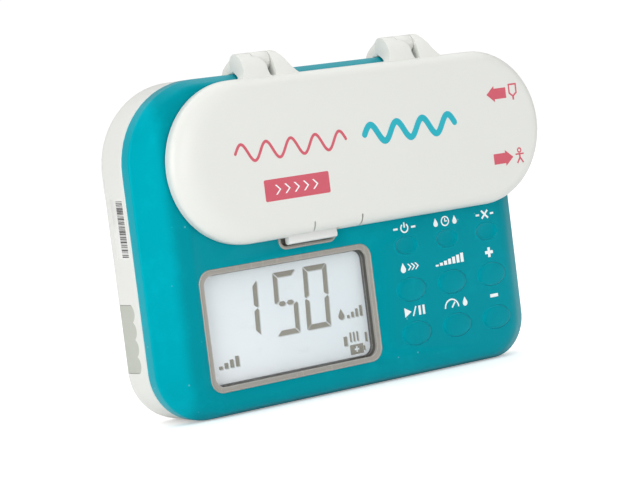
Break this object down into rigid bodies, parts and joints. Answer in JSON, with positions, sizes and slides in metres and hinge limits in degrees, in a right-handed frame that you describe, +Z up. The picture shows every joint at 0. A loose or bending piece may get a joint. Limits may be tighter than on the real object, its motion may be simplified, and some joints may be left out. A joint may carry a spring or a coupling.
{
  "type": "infusion pump",
  "caption": "Portable enteral feeding pump with a hinged pump door over a roller rotor, a finger latch, a segment display, oval keys and a rear clamp channel.",
  "frame": {"origin": "middle of the flat underside that the pump stands on", "axes": "+X right when facing the keys, -Y out of the front, +Z up"},
  "size_m": [0.1411, 0.0356, 0.1012],
  "materials": {
    "white_shell": "satin",
    "teal_cover": "satin, soft touch",
    "taupe_frame": "satin",
    "tray_plastic": "satin",
    "lens": "clear",
    "lcd": "clear",
    "backlight": "matt",
    "grip_rubber": "matt",
    "dark_rubber": "matt",
    "grey_silicone": "matt",
    "dark_plastic": "matt",
    "board": "satin",
    "cell_wrap": "satin",
    "flex": "gloss",
    "label_paper": "satin",
    "steel": "brushed",
    "brass": "turned",
    "roller_plastic": "satin"
  },
  "bodies": {
    "case": {"back_shell": "white_shell", "front_frame": "taupe_frame", "front_cover": "teal_cover", "case_gasket": "dark_rubber", "pump_tray": "tray_plastic", "lcd_lens": "lens", "lcd_panel": "lcd", "lcd_backlight": "backlight", "key_domes": "grey_silicone", "keypad_board": "board", "main_board": "board", "battery_pack": "cell_wrap", "ribbon_cable": "flex", "speaker": "dark_plastic", "charge_port": "dark_plastic", "side_grips": "grip_rubber", "serial_label": "label_paper", "clamp_insert": "brass", "case_screws": "steel", "hinge_pins": "steel", "latch_strike": "steel", "gear_plate": "steel", "idler_post": "steel", "rotor_bush_front": "brass", "rotor_bush_rear": "brass", "motor_can": "steel", "pressure_sensors": "steel", "air_sensor": "dark_plastic"},
    "door": {"door_shell": "white_shell", "door_liner": "tray_plastic", "door_seal": "grey_silicone", "tube_pads": "grey_silicone", "door_screws": "steel", "latch_pin": "steel", "latch_spring": "steel"},
    "latch": {"latch_lever": "white_shell"},
    "rotor": {"rotor_shaft": "steel", "rotor_hub": "roller_plastic", "rotor_gear": "brass", "roller_pins": "steel"},
    "roller_1_body": {"roller_1": "roller_plastic"},
    "roller_2_body": {"roller_2": "roller_plastic"},
    "roller_3_body": {"roller_3": "roller_plastic"},
    "idler": {"idler_gear": "brass"},
    "motor_armature": {"motor_pinion": "steel"},
    "key_run_body": {"key_run": "teal_cover"},
    "key_rate_body": {"key_rate": "teal_cover"},
    "key_down_body": {"key_down": "teal_cover"},
    "key_prime_body": {"key_prime": "teal_cover"},
    "key_volume_body": {"key_volume": "teal_cover"},
    "key_up_body": {"key_up": "teal_cover"},
    "key_power_body": {"key_power": "teal_cover"},
    "key_interval_body": {"key_interval": "teal_cover"},
    "key_clear_body": {"key_clear": "teal_cover"}
  },
  "joints": [
    {"name": "door_hinge", "type": "hinge", "parent": "case", "child": "door", "pos_m": [0, -0.0116, 0.09845], "axis": [-1, 0, 0], "range_deg": [0, 125]},
    {"name": "latch_pivot", "type": "hinge", "parent": "door", "child": "latch", "pos_m": [-0.012, -0.0156, 0.0507], "axis": [-1, 0, 0], "range_deg": [0, 13], "stiffness_Nm_per_rad": 0.02, "springref_deg": -5.73},
    {"name": "rotor_spin", "type": "hinge", "parent": "case", "child": "rotor", "pos_m": [-0.02, -0.008, 0.07075], "axis": [0, 1, 0], "continuous": true},
    {"name": "idler_spin", "type": "hinge", "parent": "case", "child": "idler", "pos_m": [-0.041, -0.001, 0.07075], "axis": [0, 1, 0], "continuous": true},
    {"name": "motor_spin", "type": "hinge", "parent": "case", "child": "motor_armature", "pos_m": [-0.053, -0.001, 0.07075], "axis": [0, 1, 0], "continuous": true},
    {"name": "roller_1_spin", "type": "hinge", "parent": "rotor", "child": "roller_1_body", "pos_m": [-0.02, -0.0087, 0.07935], "axis": [0, 1, 0], "continuous": true},
    {"name": "roller_2_spin", "type": "hinge", "parent": "rotor", "child": "roller_2_body", "pos_m": [-0.02745, -0.0087, 0.06645], "axis": [0, 1, 0], "continuous": true},
    {"name": "roller_3_spin", "type": "hinge", "parent": "rotor", "child": "roller_3_body", "pos_m": [-0.01255, -0.0087, 0.06645], "axis": [0, 1, 0], "continuous": true},
    {"name": "key_run_press", "type": "slide", "parent": "case", "child": "key_run_body", "axis": [0, 1, 0], "range_m": [0, 0.0007], "stiffness_N_per_m": 900},
    {"name": "key_rate_press", "type": "slide", "parent": "case", "child": "key_rate_body", "axis": [0, 1, 0], "range_m": [0, 0.0007], "stiffness_N_per_m": 900},
    {"name": "key_down_press", "type": "slide", "parent": "case", "child": "key_down_body", "axis": [0, 1, 0], "range_m": [0, 0.0007], "stiffness_N_per_m": 900},
    {"name": "key_prime_press", "type": "slide", "parent": "case", "child": "key_prime_body", "axis": [0, 1, 0], "range_m": [0, 0.0007], "stiffness_N_per_m": 900},
    {"name": "key_volume_press", "type": "slide", "parent": "case", "child": "key_volume_body", "axis": [0, 1, 0], "range_m": [0, 0.0007], "stiffness_N_per_m": 900},
    {"name": "key_up_press", "type": "slide", "parent": "case", "child": "key_up_body", "axis": [0, 1, 0], "range_m": [0, 0.0007], "stiffness_N_per_m": 900},
    {"name": "key_power_press", "type": "slide", "parent": "case", "child": "key_power_body", "axis": [0, 1, 0], "range_m": [0, 0.0007], "stiffness_N_per_m": 900},
    {"name": "key_interval_press", "type": "slide", "parent": "case", "child": "key_interval_body", "axis": [0, 1, 0], "range_m": [0, 0.0007], "stiffness_N_per_m": 900},
    {"name": "key_clear_press", "type": "slide", "parent": "case", "child": "key_clear_body", "axis": [0, 1, 0], "range_m": [0, 0.0007], "stiffness_N_per_m": 900}
  ],
  "couplings": [
    {"joint": "idler_spin", "follows": "rotor_spin", "ratio": -1.3333},
    {"joint": "motor_spin", "follows": "rotor_spin", "ratio": 4}
  ]
}
